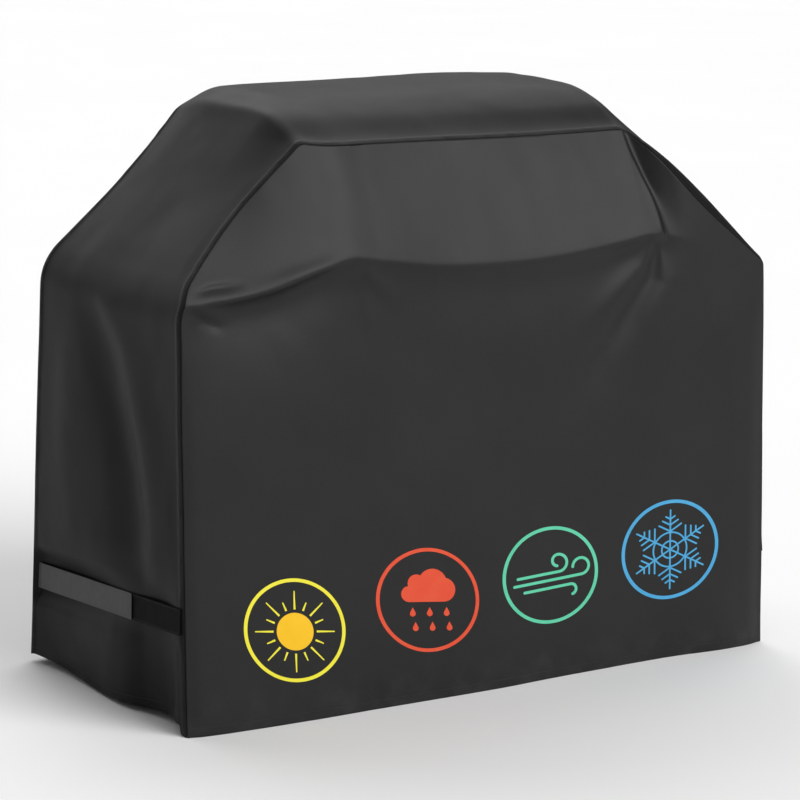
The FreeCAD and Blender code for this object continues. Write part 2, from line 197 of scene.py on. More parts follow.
# ------------ how the front hangs
crease_height = smooth_curve(
    (-0.735, 0.89), (-0.64, 0.894), (-0.525, 0.91), (-0.396, 0.947), (-0.335, 0.961), (-0.265, 0.951),
    (-0.137, 0.931), (0.039, 0.922), (0.155, 0.925), (0.274, 0.936), (0.354, 0.946), (0.44, 0.957),
    (0.52, 0.94), (0.62, 0.905), (0.735, 0.885))
crease_stand = smooth_curve(
    (-0.735, 0), (-0.6, 0.008), (-0.338, 0.01), (0.04, 0.007), (0.44, 0.006), (0.6, 0.003), (0.735, 0))
crease_radius = smooth_curve(
    (-0.735, 0.014), (-0.45, 0.012), (0, 0.012), (0.4, 0.01), (0.47, 0.014), (0.55, 0.045),
    (0.735, 0.05))
lid_lean = smooth_curve(
    (-0.735, 0.6), (-0.635, 0.6), (-0.58, 0.56), (-0.5, 0.475), (-0.405, 0.415), (-0.3, 0.382),
    (-0.193, 0.356), (0, 0.322), (0.15, 0.326), (0.328, 0.358), (0.405, 0.372), (0.444, 0.345),
    (0.464, 0.225), (0.492, 0.155), (0.563, 0.12), (0.644, 0.09), (0.735, 0.06))
lid_curl = smooth_curve(
    (-0.735, 0), (-0.4, 0.03), (-0.2, 0.24), (0, 0.25), (0.25, 0.25), (0.4, 0.2), (0.5, 0), (0.735, 0))
tuck_depth = smooth_curve(
    (-0.735, 0.004), (-0.69, 0.012), (-0.6, 0.021), (-0.5, 0.021), (-0.42, 0.016), (-0.34, 0.007),
    (-0.2, 0.008), (0.05, 0.01), (0.25, 0.012), (0.36, 0.014), (0.43, 0.011), (0.49, 0.002), (0.55, 0))
tuck_reach = smooth_curve(
    (-0.735, 0.03), (-0.6, 0.038), (-0.45, 0.043), (-0.3, 0.044), (0, 0.045), (0.25, 0.042),
    (0.4, 0.038), (0.735, 0.038))
hem_stand = smooth_curve(
    (-0.75, 0.04), (-0.62, 0.048), (-0.45, 0.05), (-0.23, 0.047), (0.02, 0.043), (0.29, 0.026),
    (0.45, 0.02), (0.6, 0.022), (0.75, 0.012))
lid_end = smooth_curve(
    (0.9, 0.455), (0.978, 0.45), (1.034, 0.439), (1.089, 0.421), (1.137, 0.407), (1.19, 0.395))
lid_end_drop = smooth_curve(
    (0.86, 0), (0.92, 0.008), (0.97, 0.017), (1.03, 0.021), (1.08, 0.019), (1.14, 0.011), (1.183, 0.002))

LEFT_CORNER = (-0.722, 0.893)  # where the front's creases run out of the left shoulder
LID_CORNER = (0.448, 0.955)  # where they run out of the lid's right end
LID_END_LOW = 0.447  # x of the lid's right end at the crease
LID_END_REACH = 0.02  # how far past the end the cloth drops deepest

FRONT_FOLDS = (
    # short sharp folds beside the left shoulder
    (((-0.705, 0.912), (-0.66, 0.92), (-0.575, 0.925)), -0.005, 0.0065, (0.35, 0.5), 1.3),
    (((-0.715, 0.866), (-0.675, 0.852), (-0.62, 0.832)), -0.004, 0.008, (0.35, 0.5), 1.4),
    ((LEFT_CORNER, (-0.67, 0.872), (-0.6, 0.858)), 0.004, 0.01, (0.3, 0.6), 1.5),
    # long folds that run down and left from the lid's right end, wider and softer as they go
    ((LID_CORNER, (0.4, 0.89), (0.325, 0.83), (0.262, 0.775), (0.19, 0.69)),
     0.0055, 0.015, (0.05, 0.75), 3.0),
    ((LID_CORNER, (0.428, 0.862), (0.356, 0.779), (0.296, 0.712), (0.24, 0.64), (0.1, 0.46)),
     -0.009, 0.017, (0.05, 0.85), 4.0),
    ((LID_CORNER, (0.452, 0.85), (0.43, 0.73), (0.4, 0.6)), 0.0045, 0.024, (0.4, 0.6), 3.0),
    # beside the crease's peak: one below it, the ridge left of it and a valley
    (((-0.315, 0.945), (-0.262, 0.895), (-0.2, 0.83)), 0.0035, 0.014, (0.2, 0.6), 1.8),
    (((-0.58, 0.912), (-0.45, 0.942), (-0.34, 0.965)), 0.0035, 0.013, (0.5, 0.3), 1.2),
    (((-0.34, 0.93), (-0.33, 0.84), (-0.3, 0.7)), -0.0035, 0.022, (0.2, 0.6), 2.0),
    # long soft folds of the skirt
    (((0.57, 0.86), (0.53, 0.6), (0.5, 0.3), (0.49, 0)), 0.004, 0.06, (0.4, 0.2), 1.5),
    (((-0.15, 0.75), (-0.22, 0.45), (-0.25, 0)), 0.005, 0.08, (0.5, 0.1), 1.5),
)


def front_depth(x, z):
    """y of the front panel's outer face at (x, z)."""
    crease = crease_height(x)
    up = z - crease
    lean = hinge(up, crease_radius(x))
    # the lean's fall at the lid's right end follows the end, which slants in with height
    past = x + 0.4 * (LID_END_LOW - lid_end(z)) * step_up(x, 0.38, 0.42)
    out = crease_stand(x) - lid_lean(past) * lean - lid_curl(x) * lean ** 2
    q = hinge(-up, 0.007) / tuck_reach(x)
    out -= tuck_depth(x) * q * np.exp(1 - q)
    fall = np.clip(1 - z / crease, 0, 1)
    out += (hem_stand(x) - crease_stand(x)) * (0.15 * fall + 0.85 * fall ** 2)
    beside = np.clip(x - lid_end(z), 0, None) / LID_END_REACH
    out -= 0.62 * lid_end_drop(z) * beside * np.exp(1 - beside)
    out += folds(x, z, FRONT_FOLDS)
    # the panel turns away before its side seams, more on the right
    low = step_up(0.92 - z, 0, 0.2)
    out += low * (0.01 * step_up(x, 0.5, 0.66) - 0.008 * step_up(x, 0.675, 0.745) ** 2)
    out -= 0.006 * step_up(-x, 0.69, 0.745) ** 2 * step_up(0.84 - z, 0, 0.2)
    out += 0.0012 * ripples(x, z * 0.6, 0.16, 5) + 0.0006 * ripples(x + z * 0.3, z * 0.7, 0.06, 6)
    return FRONT - out


# ------------ how the back hangs
back_lean = smooth_curve((0, 0), (0.86, 0), (0.92, 0.006), (1.05, 0.01), (1.24, 0.018))
BACK_SKIRT_FOLDS = ((-0.47, 0.008, 0.09), (-0.2, -0.007, 0.08), (0.08, 0.008, 0.1),
                    (0.36, -0.006, 0.07), (0.6, 0.004, 0.06))  # x at the middle, height, width
BACK_CORNER_FOLDS = (  # on the right; the left mirrors them
    (((0.725, 0.868), (0.6, 0.8), (0.42, 0.66)), -0.008, 0.013, (0.1, 0.8), 3.5),
    (((0.725, 0.868), (0.63, 0.87), (0.46, 0.91)), 0.006, 0.012, (0.15, 0.8), 3.0),
    (((0.4, 1.19), (0.36, 1.02), (0.28, 0.8)), -0.006, 0.016, (0.1, 0.8), 3.0),
)


def back_depth(x, z):
    """y of the back panel's outer face at (x, z)."""
    out = 0.033 * np.clip(1 - z / 0.75, 0, 1) ** 1.6 - back_lean(z)
    for centre, height, width in BACK_SKIRT_FOLDS:
        drift = centre + 0.06 * (0.5 - z)
        out += height * bump(x - drift, width) * step_up(1.0 - z, 0.05, 0.75)
    for side in (-1, 1):
        across = side * x
        out += folds(across, z, BACK_CORNER_FOLDS)
        out -= 0.006 * step_up(across, 0.68, 0.745) ** 2 * step_up(0.9 - z, 0, 0.2)
    out += 0.0012 * ripples(x + 3, z * 0.6, 0.17, 15) + 0.0007 * ripples(x, z * 0.7, 0.06, 16)
    return SIDE_Y + out


# ------------ the outline, at any depth
lid_left = smooth_curve(
    (0, 1.194), (0.06, 1.204), (0.28, 1.242), (0.45, 1.246), (0.6, 1.244), (0.87, 1.234), (1.0, 1.214))
lid_inner_left = smooth_curve(
    (0, 1.186), (0.05, 1.196), (0.2, 1.235), (0.35, 1.256), (0.5, 1.265), (0.7, 1.269), (0.88, 1.267),
    (0.96, 1.258), (1.0, 1.243))
lid_inner_right = smooth_curve(
    (0, 1.177), (0.05, 1.188), (0.17, 1.226), (0.34, 1.258), (0.5, 1.268), (0.75, 1.27), (0.9, 1.266),
    (1.0, 1.243))
lid_right = smooth_curve(
    (0, 1.18), (0.05, 1.191), (0.17, 1.226), (0.357, 1.261), (0.5, 1.266), (0.7, 1.267), (0.9, 1.258),
    (1.0, 1.236))


def outline_corners(t):
    """Corners of the cross-section at the share t of its depth, hem to hem: x, z and the corner's cut."""
    one = np.ones_like(t)
    back = step_up(t, 0.05, 0.8)
    roll = step_up(t, 0.0, 0.045)  # the cloth puffs out beside the right side's front seam
    shelf = -0.012 * np.sin(np.pi * t)
    return [
        (-0.744 - 0.02 * back, HEM_LIFT + 0.015 * step_up(t, 0.5, 1.0), 0.0),
        (-0.735 - 0.02 * back, SKIRT * one, 0.18),
        (-0.7365 - 0.004 * back, 0.903 + shelf, 0.055),
        (-0.535 + 0.004 * t, 1.09 - 0.006 * t, 0.1),
        (-0.405 - 0.01 * back, lid_left(t), 0.014),
        (-0.345 * one, lid_inner_left(t), 0.028),
        (0.22 * one, lid_inner_right(t), 0.14),
        (LID_HALF - 0.002 * one, lid_right(t), 0.022),
        (0.548 + 0.02 * roll, 1.022 + 0.024 * roll, 0.085),
        (0.733 + 0.007 * roll, 0.875 + 0.008 * roll + shelf, 0.012),
        (0.7435 + 0.004 * roll + 0.003 * back, SKIRT * one, 0.18),
        (0.747 + 0.003 * roll + 0.01 * back, HEM_LIFT * one, 0.0),
    ]


def outline(t, spacing):
    """Points of the cross-section for each share t of the depth: an array (points, t, xz)."""
    corners = outline_corners(t)
    place = [stacked(x, z) for x, z, _ in corners]
    middle = [np.array([x[0], z[0]]) for x, z, _ in outline_corners(np.array([0.5]))]
    cut = [c for _, _, c in corners]
    rows = []
    for k in range(len(corners) - 1):
        run = unit(place[k + 1] - place[k])
        start = place[k] + run * cut[k]
        end = place[k + 1] - run * cut[k + 1]
        straight = float(np.linalg.norm(middle[k + 1] - middle[k])) - cut[k] - cut[k + 1]
        steps = max(2, round(straight / spacing))
        rows += [start + (end - start) * (i / steps) for i in range(steps)]
        if k + 2 == len(corners):
            rows.append(end)
            break
        leave = place[k + 1] + unit(place[k + 2] - place[k + 1]) * cut[k + 1]
        turns = max(6, round(2 * cut[k + 1] / spacing))
        for i in range(turns):
            s = i / turns
            rows.append((1 - s) ** 2 * end + 2 * s * (1 - s) * place[k + 1] + s * s * leave)
    return np.array(rows)


# ------------ straps: where they lie
class StrapFrame:
    """Directions of one side's strap, from its two joints: along it, outwards and up."""

    def __init__(self, side):
        self.side = side
        peel, bend = JOINTS[f"{side}_strap_peel"], JOINTS[f"{side}_strap_fold"]
        self.peel, self.bend = np.array(peel["pos_m"]), np.array(bend["pos_m"])
        axis = unit(np.array(peel["axis"], float))
        self.along = unit(self.bend - self.peel)
        self.out = np.cross(axis, self.along)
        self.up = axis * np.sign(axis[2])
        anchor = self.span("strap_anchor")
        self.wall = anchor[1][0]  # the wall under the anchor, below the joints' plane

    def span(self, node):
        """(low, high) of a CAD node along, outwards and up from the peel joint."""
        mesh = frame["nodes"][f"{self.side}_{node}"].data
        points = np.array([v.co for v in mesh.vertices], float) - self.peel
        return [((points @ d).min(), (points @ d).max()) for d in (self.along, self.out, self.up)]

    def at(self, along, out, up):
        return (self.peel + np.multiply.outer(along, self.along) + np.multiply.outer(out, self.out)
                + np.multiply.outer(up, self.up))

    def wall_x(self, y, z, below):
        """x of the wall's plane at (y, z), that much inside it."""
        rest = (y - self.peel[1]) * self.out[1] + (z - self.peel[2]) * self.out[2]
        return self.peel[0] + (self.wall - below - rest) / self.out[0]

    def above(self, y, z):
        """Height above the strap's middle."""
        return z - self.peel[2] - (y - self.peel[1]) * self.along[2] / self.along[1]


STRAPS = {side: StrapFrame(side) for side in ("left", "right")}


# ------------ the gusset's own folds
left_fold_line = smooth_curve(
    (0, 0.118), (0.24, 0.126), (0.3, 0.132), (0.42, 0.152), (0.553, 0.186), (0.656, 0.228),
    (0.765, 0.275), (0.854, 0.35))
left_fold_depth = smooth_curve(
    (0, 0.006), (0.15, 0.007), (0.3, 0.012), (0.45, 0.018), (0.62, 0.018), (0.75, 0.011), (0.84, 0.004),
    (0.9, 0))


# how far a side's hem draws in, front to back
hem_gather = smooth_curve(
    (-0.34, 0), (-0.31, 0.002), (-0.25, 0.022), (-0.16, 0.012), (-0.11, -0.001), (-0.05, -0.0016),
    (0.04, 0.008), (0.18, 0.014), (0.27, 0.008), (0.33, 0))


def left_side_folds(y, z):
    """One deep fold that runs from the back of the shoulder down towards the front. Positive is out."""
    behind = y - FRONT - left_fold_line(z)
    depth = left_fold_depth(z)
    crest, valley = behind + 0.02, behind - 0.052
    out = 0.3 * depth * bump(np.minimum(crest, 0), 0.1) * bump(np.maximum(crest, 0), 0.07)
    out -= 0.85 * depth * bump(np.minimum(valley, 0), 0.052) * bump(np.maximum(valley, 0), 0.085)
    return out + 0.004 * bump(y - 0.2 + 0.05 * z, 0.07) * step_up(z, 0.25, 0.6) * step_up(0.86 - z, 0, 0.2)


def right_side_folds(y, z):
    shelf = step_up(0.88 - z, 0.0, 0.12)
    out = 0.007 * bump(y + 0.12 - 0.2 * z, 0.06) - 0.009 * bump(y + 0.02 - 0.25 * z, 0.05)
    return (out + 0.004 * bump(y - 0.2, 0.05)) * shelf


def held_by_strap(x, y, z, strap, t):
    """x of the side where the strap draws it in: flat behind the strap, and slack above and below."""
    off = strap.above(y, z)
    hold = 1 - step_up(np.abs(off), 0.03, 0.075)
    hold = hold * step_up(t, 0.0, 0.04) * (1 - step_up(t, 0.97, 1.0))
    outward = np.sign(strap.out[0])
    pillow = bump(off - 0.115, 0.045) * 0.005 + bump(off + 0.095, 0.035) * 0.004
    x = x + outward * pillow * np.sin(np.pi * t)
    return x + (strap.wall_x(y, z, 0.0008) - x) * hold


def grid_normals(grid):
    """Unit normals of a grid that point away from the cover's middle."""
    normal = unit(np.cross(np.gradient(grid, axis=0), np.gradient(grid, axis=1)))
    facing = np.sum(normal * (grid - COVER_MIDDLE), axis=-1).mean()
    return normal if facing > 0 else -normal


def gusset_base(t, spacing):
    """The gusset stretched straight from seam to seam."""
    xz = outline(t, spacing)
    edge_front = outline(np.zeros(1), spacing)[:, 0]
    edge_back = outline(np.ones(1), spacing)[:, 0]
    y_front = front_depth(edge_front[:, 0], edge_front[:, 1])[:, None]
    y_back = back_depth(edge_back[:, 0], edge_back[:, 1])[:, None]
    y = y_front + t[None, :] * (y_back - y_front)
    return stacked(xz[..., 0], y, xz[..., 1])


def gusset_surface(t, spacing):
    points = gusset_base(t, spacing)
    normal = grid_normals(points)
    x, y, z = points[..., 0], points[..., 1], points[..., 2]
    run = distances_along(points[:, points.shape[1] // 2])[:, None]
    fade = (step_up(t, 0.0, 0.1) * (1 - step_up(t, 0.92, 1.0)))[None, :]
    side = step_up(0.89 - z, 0, 0.05)
    out = np.where(x < 0, left_side_folds(y, z), right_side_folds(y, z)) * side
    slope = step_up(z, 0.9, 0.98) * (1 - step_up(z, 1.13, 1.22))
    out += 0.005 * slope * np.sin(np.pi * t)[None, :] + 0.003 * slope * ripples(run, y, 0.2, 21)
    top = step_up(z, 1.19, 1.23)
    out += 0.0025 * top * ripples(x, y * 1.3, 0.22, 22)
    out += 0.0012 * ripples(run, y, 0.12, 23) + 0.0004 * ripples(run, y, 0.05, 24)
    points = points + normal * (out * fade)[..., None]
    for strap in STRAPS.values():
        on_side = (x * strap.out[0] > 0) & (np.abs(x) > 0.6)
        held = held_by_strap(points[..., 0], points[..., 1], points[..., 2], strap, t[None, :])
        points[..., 0] = np.where(on_side, held, points[..., 0])
    # the side hems hang a little short of the ground, and draw in near the front
    low = step_up(0.4 - points[..., 2], 0.0, 0.4) * (np.abs(x) > 0.5)
    lift = (0.02 - 0.016 * step_up(t, 0.12, 0.6)) * (1 - step_up(t, 0.97, 1.0)) * step_up(t, 0.034, 0.046)
    points[..., 2] += low * lift[None, :]
    gather = hem_gather(y) * np.where(x < 0, 1.0, 0.6)
    points[..., 0] -= np.sign(x) * gather * low
    return points


# ------------ seams
class Seam:
    """A seam's line from the left hem to the right one, with unit directions into its two panels."""

    def __init__(self, base, depth, back):
        order = slice(None, None, -1) if back else slice(None)
        columns = base[:, order]
        self.line = columns[:, 0]
        self.into_gusset = unit(columns[:, 2] - columns[:, 0])
        tangent = unit(np.gradient(self.line[:, [0, 2]], axis=0))
        inward = stacked(tangent[:, 1], -tangent[:, 0])
        near = self.line[:, [0, 2]] + inward * 0.012
        beside = stacked(near[:, 0], depth(near[:, 0], near[:, 1]), near[:, 1])
        self.into_face = unit(beside - self.line)
        self.length = distances_along(self.line)

    def sample(self, lengths):
        """(line, into_face, into_gusset) at these lengths along the seam."""
        rows = (self.line, self.into_face, self.into_gusset)
        line, face, gusset = (between(lengths, self.length, values) for values in rows)
        return line, unit(face), unit(gusset)


def lip(corner, into_panel, into_other, steps=9):
    """Rows that roll a panel's edge into the groove and on into its seam allowance."""
    inner = unit(into_panel + into_other)
    cosine = np.clip(np.sum(inner * into_panel, axis=-1, keepdims=True), 0.1, 0.98)
    half = np.arccos(cosine)
    reach = LIP_RADIUS / np.tan(half / 2)
    down = unit(inner - cosine * into_panel)
    centre = corner + into_panel * reach + down * LIP_RADIUS
    rows = []
    for k in range(steps):
        turn = (np.pi - half) * k / (steps - 1)
        rows.append(centre - down * LIP_RADIUS * np.cos(turn) - into_panel * LIP_RADIUS * np.sin(turn))
    across = unit(into_panel - cosine * inner)
    for share in (0.3, 1.0):
        rows.append(rows[steps - 1] + inner * ALLOWANCE * share + across * 0.0003)
    return rows


# ------------ building meshes from grids
def add_object(name, data):
    obj = bpy.data.objects.new(name, data)
    bpy.context.scene.collection.objects.link(obj)
    return obj


def grid_mesh(name, points, uv):
    """A quad mesh over an array (rows, columns, xyz), with its pattern coordinates as UVs."""
    rows, columns = points.shape[:2]
    index = np.arange(rows * columns).reshape(rows, columns)
    corners = index[:-1, :-1], index[1:, :-1], index[1:, 1:], index[:-1, 1:]
    quads = stacked(*corners).reshape(-1, 4)
    mesh = bpy.data.meshes.new(name)
    mesh.from_pydata(points.reshape(-1, 3), [], quads, shade_flat=False)
    corner_uv = uv.reshape(-1, 2)[quads.reshape(-1)]
    mesh.uv_layers.new(name="pattern").data.foreach_set("uv", corner_uv.reshape(-1).astype(np.float32))
    return add_object(name, mesh)


def strip(name, rows, edge_uv, step):
    """A grid from a list of rows, whose pattern coordinates run on from the panel's edge."""
    stack = np.array(rows)
    steps = np.arange(len(rows))[:, None, None] * np.array(step)
    return grid_mesh(name, stack.transpose(1, 0, 2), (edge_uv[None] + steps).transpose(1, 0, 2))


def join(parts, name):
    """One object from several."""
    with bpy.context.temp_override(active_object=parts[0], selected_editable_objects=parts):
        bpy.ops.object.join()
    parts[0].name = parts[0].data.name = name
    return finish_mesh(parts[0])


def finish_mesh(obj):
    """Merges a mesh's touching edges and turns its faces outwards."""
    mesh = bmesh.new()
    mesh.from_mesh(obj.data)
    bmesh.ops.remove_doubles(mesh, verts=mesh.verts, dist=0.00004)
    bmesh.ops.recalc_face_normals(mesh, faces=mesh.faces)
    mesh.to_mesh(obj.data)
    mesh.free()
    return obj


def edge_first(distances, length, count):
    """Shares of a length: the given distances from each end, and even steps between."""
    near = np.array(distances) / length
    middle = np.linspace(near[-1], 1 - near[-1], count)
    return np.concatenate([near[:-1], middle, (1 - near[:-1])[::-1]])


def hem_rows(bottom, inward, up):
    """Rows that turn a panel's bottom edge inwards and up, as a turned hem."""
    rows = [bottom]
    for turn in np.linspace(0, np.pi, 6)[1:]:
        rows.append(bottom + inward * HEM_BEND * (1 - np.cos(turn)) - up * HEM_BEND * np.sin(turn))
    for share in (0.35, 0.7, 1.0):
        rows.append(bottom + inward * 2 * HEM_BEND + up * HEM_DEPTH * share)
    return rows


def face_panel(name, seam, depth):
    """The front or the back panel, spread between its seam's two sides and its top."""
    left_length = seam.length[seam.line[:, 0] > FACE_TOP[0]][0]
    right_length = seam.length[seam.line[:, 0] < FACE_TOP[1]][-1]
    end = seam.length[-1]
    near_top = 1 - np.array(TOP_ROWS) / left_length
    v = np.unique(np.concatenate([np.linspace(0, 1, PANEL_ROWS)[:-2], near_top]))
    v = v[(v < 1 - TOP_CLEAR / left_length) | (v >= near_top[0])]
    u = edge_first(EDGE_COLUMNS, PANEL_WIDTH, PANEL_COLUMNS)
    left = seam.sample(left_length * v)
    right = seam.sample(end - (end - right_length) * v)
    top = seam.sample(left_length + (right_length - left_length) * u)
    l, r, tp = left[0][:, [0, 2]], right[0][:, [0, 2]], top[0][:, [0, 2]]
    bottom = l[0] + (r[0] - l[0]) * u[:, None]
    s, w = u[None, :, None], v[:, None, None]
    flat = ((1 - w) * bottom[None] + w * tp[None] + (1 - s) * l[:, None] + s * r[:, None]
            - (1 - s) * (1 - w) * l[0] - s * (1 - w) * r[0] - (1 - s) * w * l[-1] - s * w * r[-1])
    grid = stacked(flat[..., 0], depth(flat[..., 0], flat[..., 1]), flat[..., 1])
    left_rows, right_rows, top_rows = (lip(line, face, gusset) for line, face, gusset in (left, right, top))
    grid[:, 0], grid[:, -1], grid[-1] = left_rows[0], right_rows[0], top_rows[0]
    parts = [grid_mesh(name, grid, flat)]
    parts.append(strip(name, left_rows, flat[:, 0], (-LIP_PITCH, 0)))
    parts.append(strip(name, right_rows, flat[:, -1], (LIP_PITCH, 0)))
    parts.append(strip(name, top_rows, flat[-1], (0, LIP_PITCH)))
    inward = np.zeros_like(grid[0])
    inward[:, 1] = -np.sign(grid[0][0, 1])
    parts.append(strip(name, hem_rows(grid[0], inward, unit(grid[3] - grid[0])), flat[0], (0, -0.001)))
    return join(parts, name), grid


def gusset_panel(name, seams):
    """The gusset, with its edges pressed up over their allowances."""
    shares = edge_first(EDGE_COLUMNS, GUSSET_DEPTH, GUSSET_COLUMNS)
    surface = gusset_surface(shares, GUSSET_SPACING)
    lengths = distances_along(surface[:, 50])  # down a column near the middle
    uv = stacked(lengths[:, None], (shares * GUSSET_DEPTH)[None, :])
    normal = grid_normals(surface)
    from_edge = np.minimum(shares, 1 - shares) * GUSSET_DEPTH
    pressed = 0.0015 * step_up(from_edge, 0.003, 0.0085) * (1 - step_up(from_edge, 0.013, 0.021))
    puckers = 1 + 0.35 * ripples(lengths[:, None], from_edge[None, :] * 0, 0.02, 31)
    ground = step_up(surface[..., 2], 0.0, 0.02)
    grid = surface + normal * (pressed[None, :] * puckers * ground)[..., None]
    edges = []
    for seam, edge, sign in ((seams[0], 0, -1), (seams[1], -1, 1)):
        rows = lip(seam.line, seam.into_gusset, seam.into_face)
        grid[:, edge] = rows[0]
        edges.append((rows, uv[:, edge], (0, sign * LIP_PITCH)))
    parts = [grid_mesh(name, grid, uv)]
    parts += [strip(name, *edge) for edge in edges]
    # the hems turn in across the way from each end's row to one a little above it
    for end, near in ((0, 3), (-1, -4)):
        up = unit(grid[near] - grid[end])
        facing = normal[end]
        inward = -unit(facing - np.sum(facing * up, axis=-1, keepdims=True) * up)
        sign = -1 if end == 0 else 1
        parts.append(strip(name, hem_rows(grid[end], inward, up), uv[end], (sign * 0.001, 0)))
    return join(parts, name), grid


# ------------ bound allowances
def seam_tape(name, seam):
    """A folded tape round the seam allowance, inside the cover."""
    margin, spacing = 0.012, 0.008
    lengths = np.arange(margin, seam.length[-1] - margin, spacing)
    line, face, gusset = seam.sample(lengths)
    inner = unit(face + gusset)
    cosine = np.sum(inner * face, axis=-1, keepdims=True)
    across = unit(face - cosine * inner)
    groove = LIP_RADIUS / np.tan(np.arccos(cosine) / 2) * cosine + LIP_RADIUS * np.sqrt(1 - cosine ** 2)
    # depth behind the groove and distance from the allowance's middle
    section = [(0.004, 0.0007), (0.004, 0.0015), (0.012, 0.0016), (0.0145, 0.0012), (0.0153, 0)]
    section += [(d, -s) for d, s in reversed(section[:-1])]
    waves = 0.0004 * np.sin(lengths * 210)[:, None]
    rows = [line + inner * (groove + d) + across * (s + waves * (d > 0.005))
            for d, s in section + section[:1]]
    return finish_mesh(strip(name, rows, stacked(lengths, 0), (0, 0.0035)))


# ------------ stitches
def stitch_line(name, points, normals):
    """Thread stitches, laid end to end along a line of points on a surface."""
    length = distances_along(points)
    centres = np.arange(STITCH_PITCH / 2, length[-1], STITCH_PITCH)
    at = between(centres, length, points)
    ahead = between(centres + 0.0005, length, points)  # a little further on
    up = unit(between(centres, length, normals))
    along = unit(ahead - at + 1e-9)
    return thread(name, at, along, unit(np.cross(up, along)), up)


def thread(name, at, along, across, up):
    """A small plump stitch at each place, pulled into the cloth at both ends."""
    sides = 5
    # place along the stitch, size and height of each ring
    rings = ((-0.5, 0.35, -0.6), (-0.36, 0.95, 0.15), (0, 1.0, 0.5), (0.36, 0.95, 0.15), (0.5, 0.35, -0.6))
    points = []
    for place, size, height in rings:
        for k in range(sides):
            angle = 2 * math.pi * k / sides
            offset = across * (math.cos(angle) * size * STITCH_RADIUS)
            offset = offset + up * ((math.sin(angle) * size + height) * STITCH_RADIUS)
            points.append(at + along * (place * STITCH_LENGTH) + offset)
    points = np.array(points).transpose(1, 0, 2)
    faces = []
    for ring in range(len(rings) - 1):
        for k in range(sides):
            a, b = ring * sides + k, ring * sides + (k + 1) % sides
            faces.append((a, b, b + sides, a + sides))
    count = points.shape[1]
    caps = [tuple(range(sides))[::-1], tuple(range(count - sides, count))]
    mesh = bpy.data.meshes.new(name)
    offsets = range(0, len(points) * count, count)
    every = [tuple(v + o for v in face) for o in offsets for face in faces + caps]
    mesh.from_pydata(points.reshape(-1, 3), [], every, shade_flat=False)
    return add_object(name, mesh)


def hem_stitches(name, grid):
    """The hem's stitch line on a panel whose first row is its bottom edge."""
    heights = np.linalg.norm(np.cumsum(np.diff(grid, axis=0), axis=0), axis=-1).mean(axis=1)
    row = int(np.argmin(np.abs(heights - HEM_STITCH))) + 1
    normal = grid_normals(grid)
    return stitch_line(name, grid[row, 2:-2] + normal[row, 2:-2] * STITCH_LIFT, normal[row, 2:-2])


# ------------ straps and tapes
def webbing(name, strap, spans, bow=0.0, spacing=0.003):
    """A flat woven strip: a rounded section swept along the strap, closed at both ends."""
    (a0, a1), (o0, o1), (u0, u1) = spans
    along = np.linspace(a0, a1, max(4, round((a1 - a0) / spacing)))
    half, thick, middle = (u1 - u0) / 2, (o1 - o0) / 2, (u0 + u1) / 2
    rounded = thick * 0.8  # how far the section's edges turn in
    flat = np.linspace(1, -1, 15) * (half - rounded)
    top = [(w, thick * (1 - 0.1 * (w / half) ** 2)) for w in flat]
    edge = [(-half + rounded * (1 - math.sin(turn)), thick * 0.88 * math.cos(turn))
            for turn in (math.pi * j / 6 for j in range(1, 6))]
    loop = top + edge + [(-w, -o) for w, o in top + edge]
    loop.append(loop[0])
    lift = bow * np.sin(np.pi * (along - a0) / (a1 - a0)) ** 2
    rows = [strap.at(along, (o0 + o1) / 2 + o + lift, middle + w + 0 * along) for w, o in loop]
    grid = np.array(rows).transpose(1, 0, 2)
    around = distances_along(loop)
    body = grid_mesh(name, grid, stacked(along[:, None], around[None, :]))
    caps = []
    for end, out in ((0, -1), (-1, 1)):
        ring = grid[end]
        away = strap.along * out * thick
        centre = grid[end, :-1].mean(axis=0) + away * 0.5
        rings = [ring, centre + (ring - centre) * 0.985 + away * 0.35, centre + (ring - centre) * 0.4,
                 centre + 0 * ring]
        caps.append(strip(name, rings, stacked(around, 0), (0, 0.001)))
    return join([body] + caps, name)


def box_stitches(name, strap, spans, out, inset):
    """Stitches in a rectangle with a cross, as on a sewn strap end."""
    (a0, a1), _, (u0, u1) = spans
    a0, a1, u0, u1 = a0 + inset, a1 - inset, u0 + inset, u1 - inset
    corners = [(a0, u0), (a1, u0), (a1, u1), (a0, u1), (a0, u0)]
    lines = list(zip(corners, corners[1:])) + [((a0, u0), (a1, u1)), ((a0, u1), (a1, u0))]
    return straight_stitches(name, strap, lines, out)


def edge_lines(start, end, stop, width, inset):
    """Lines along a strap's two edges, and one across it at stop."""
    low, high = width
    lines = [((start, w), (end, w)) for w in (low + inset, high - inset)]
    return lines + [((stop, low + 0.004), (stop, high - 0.004))]


def straight_stitches(name, strap, lines, out):
    """Stitches along straight lines in the strap's plane."""
    places, ways = [], []
    for start, end in lines:
        run = np.subtract(end, start)
        length = math.hypot(*run)
        count = max(1, int(length / STITCH_PITCH))
        places += [start + run * ((k + 0.5) / count) for k in range(count)]
        ways += [run / length] * count
    places, ways = np.array(places), np.array(ways)
    at = strap.at(places[:, 0], out + 0 * places[:, 0], places[:, 1])
    along = np.multiply.outer(ways[:, 0], strap.along) + np.multiply.outer(ways[:, 1], strap.up)
    up = np.broadcast_to(strap.out, along.shape)
    return thread(name, at, along, np.cross(up, along), up)


